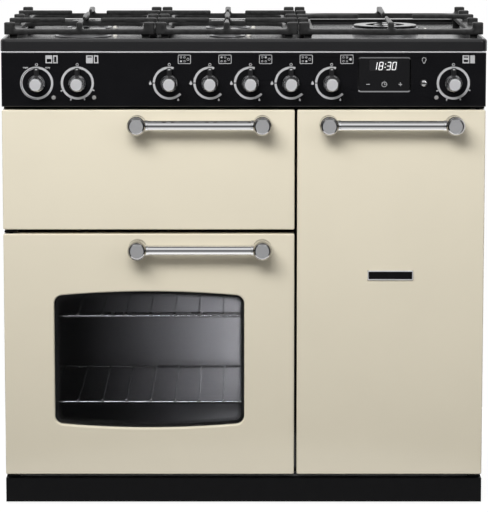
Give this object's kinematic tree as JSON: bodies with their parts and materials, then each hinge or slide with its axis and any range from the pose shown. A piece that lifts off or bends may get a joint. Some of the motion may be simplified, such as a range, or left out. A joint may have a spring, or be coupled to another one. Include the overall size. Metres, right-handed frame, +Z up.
{
  "type": "dual fuel range cooker",
  "caption": "Free-standing range cooker with a gas hob under cast pan supports, a drop-down grill, a windowed oven and a tall oven behind enamelled doors.",
  "frame": {"origin": "on the floor, midway across the hob's width and midway between the handles' fronts and the rear panel's back", "axes": "+X to the cooker's right as seen from the front, +Y to its back, +Z up"},
  "size_m": [0.9, 0.654, 0.905],
  "materials": {
    "cream_enamel": "gloss vitreous enamel",
    "black_enamel": "gloss vitreous enamel",
    "grill_pan_enamel": "speckled vitreous enamel",
    "cast_iron": "matt enamelled casting",
    "chrome": "bright chrome with satin end faces",
    "window_glass": "tinted toughened glass",
    "clock_glass": "dark display glass",
    "bright_wire": "bright plated wire",
    "galvanised_steel": "galvanised",
    "burner_aluminium": "cast",
    "brass": "machined",
    "black_plastic": "satin",
    "seal_rubber": "soft heat-resistant",
    "lens_plastic": "clear",
    "ceramic": "glazed"
  },
  "bodies": {
    "cooker": {"base_frame": "galvanised_steel", "levelling_feet": "galvanised_steel", "front_frame": "black_enamel", "left_side_panel": "black_enamel", "right_side_panel": "black_enamel", "rear_panel": "galvanised_steel", "plinth": "black_enamel", "left_oven_cavity": "black_enamel", "right_oven_cavity": "black_enamel", "grill_cavity": "black_enamel", "shelf_supports": "bright_wire", "left_oven_shelves": "bright_wire", "right_oven_shelves": "bright_wire", "fan_covers": "black_enamel", "fan_motors": "galvanised_steel", "heating_elements": "galvanised_steel", "grill_pan": "grill_pan_enamel", "grill_trivet": "bright_wire", "oven_seals": "seal_rubber", "door_hinge_brackets": "galvanised_steel", "control_panel": "black_enamel", "clock_window": "clock_glass", "clock_module": "black_plastic", "indicator_lenses": "lens_plastic", "gas_taps": "brass", "oven_controls": "black_plastic", "gas_rail": "brass", "hob_tray": "black_enamel", "burner_bases": "burner_aluminium", "burner_heads": "burner_aluminium", "burner_caps": "black_enamel", "spark_electrodes": "ceramic", "terminal_box": "black_plastic"},
    "grill_door": {"grill_door_panel": "cream_enamel", "grill_door_liner": "black_enamel", "grill_door_handle": "chrome"},
    "left_oven_door": {"left_door_panel": "cream_enamel", "left_door_liner": "black_enamel", "left_door_outer_glass": "window_glass", "left_door_inner_glass": "window_glass", "left_door_handle": "chrome"},
    "right_oven_door": {"right_door_panel": "cream_enamel", "right_door_liner": "black_enamel", "right_door_handle": "chrome", "badge_plate": "black_plastic"},
    "grill_knob": {"grill_knob": "chrome"},
    "left_oven_knob": {"left_oven_knob": "chrome"},
    "burner_knob_1": {"burner_knob_1": "chrome"},
    "burner_knob_2": {"burner_knob_2": "chrome"},
    "burner_knob_3": {"burner_knob_3": "chrome"},
    "burner_knob_4": {"burner_knob_4": "chrome"},
    "burner_knob_5": {"burner_knob_5": "chrome"},
    "right_oven_knob": {"right_oven_knob": "chrome"},
    "oven_light_button": {"oven_light_button": "black_plastic"},
    "left_oven_fan": {"left_oven_fan": "galvanised_steel"},
    "right_oven_fan": {"right_oven_fan": "galvanised_steel"},
    "rear_rollers": {"rear_rollers": "black_plastic"},
    "pan_support_left": {"pan_support_left": "cast_iron"},
    "pan_support_centre": {"pan_support_centre": "cast_iron"},
    "pan_support_right": {"pan_support_right": "cast_iron"}
  },
  "joints": [
    {"name": "grill_door_hinge", "type": "hinge", "parent": "cooker", "child": "grill_door", "pos_m": [-0.17675, -0.273, 0.53], "axis": [1, 0, 0], "range_deg": [0, 90]},
    {"name": "left_oven_door_hinge", "type": "hinge", "parent": "cooker", "child": "left_oven_door", "pos_m": [-0.434, -0.267, 0.285], "axis": [0, 0, -1], "range_deg": [0, 100]},
    {"name": "right_oven_door_hinge", "type": "hinge", "parent": "cooker", "child": "right_oven_door", "pos_m": [0.434, -0.267, 0.401], "axis": [0, 0, 1], "range_deg": [0, 100]},
    {"name": "grill_knob_turn", "type": "hinge", "parent": "cooker", "child": "grill_knob", "pos_m": [-0.3825, -0.281, 0.796], "axis": [0, 1, 0], "range_deg": [-150, 150]},
    {"name": "left_oven_knob_turn", "type": "hinge", "parent": "cooker", "child": "left_oven_knob", "pos_m": [-0.3075, -0.281, 0.796], "axis": [0, 1, 0], "range_deg": [0, 250]},
    {"name": "burner_knob_1_turn", "type": "hinge", "parent": "cooker", "child": "burner_knob_1", "pos_m": [-0.1375, -0.281, 0.796], "axis": [0, -1, 0], "range_deg": [0, 220]},
    {"name": "burner_knob_2_turn", "type": "hinge", "parent": "cooker", "child": "burner_knob_2", "pos_m": [-0.0625, -0.281, 0.796], "axis": [0, -1, 0], "range_deg": [0, 220]},
    {"name": "burner_knob_3_turn", "type": "hinge", "parent": "cooker", "child": "burner_knob_3", "pos_m": [0.0125, -0.281, 0.796], "axis": [0, -1, 0], "range_deg": [0, 220]},
    {"name": "burner_knob_4_turn", "type": "hinge", "parent": "cooker", "child": "burner_knob_4", "pos_m": [0.0875, -0.281, 0.796], "axis": [0, -1, 0], "range_deg": [0, 220]},
    {"name": "burner_knob_5_turn", "type": "hinge", "parent": "cooker", "child": "burner_knob_5", "pos_m": [0.1625, -0.281, 0.796], "axis": [0, -1, 0], "range_deg": [0, 220]},
    {"name": "right_oven_knob_turn", "type": "hinge", "parent": "cooker", "child": "right_oven_knob", "pos_m": [0.3875, -0.281, 0.796], "axis": [0, 1, 0], "range_deg": [0, 250]},
    {"name": "oven_light_button_press", "type": "slide", "parent": "cooker", "child": "oven_light_button", "axis": [0, 1, 0], "range_m": [0, 0.0025], "stiffness_N_per_m": 400},
    {"name": "left_oven_fan_spin", "type": "hinge", "parent": "cooker", "child": "left_oven_fan", "pos_m": [-0.17675, 0.18, 0.287], "axis": [0, 1, 0], "continuous": true},
    {"name": "right_oven_fan_spin", "type": "hinge", "parent": "cooker", "child": "right_oven_fan", "pos_m": [0.27375, 0.18, 0.397], "axis": [0, 1, 0], "continuous": true},
    {"name": "rear_rollers_roll", "type": "hinge", "parent": "cooker", "child": "rear_rollers", "pos_m": [0, 0.267, 0.022], "axis": [1, 0, 0], "continuous": true},
    {"name": "pan_support_left_lift", "type": "slide", "parent": "cooker", "child": "pan_support_left", "axis": [0, 0, 1], "range_m": [0, 0.15]},
    {"name": "pan_support_centre_lift", "type": "slide", "parent": "cooker", "child": "pan_support_centre", "axis": [0, 0, 1], "range_m": [0, 0.15]},
    {"name": "pan_support_right_lift", "type": "slide", "parent": "cooker", "child": "pan_support_right", "axis": [0, 0, 1], "range_m": [0, 0.15]}
  ]
}
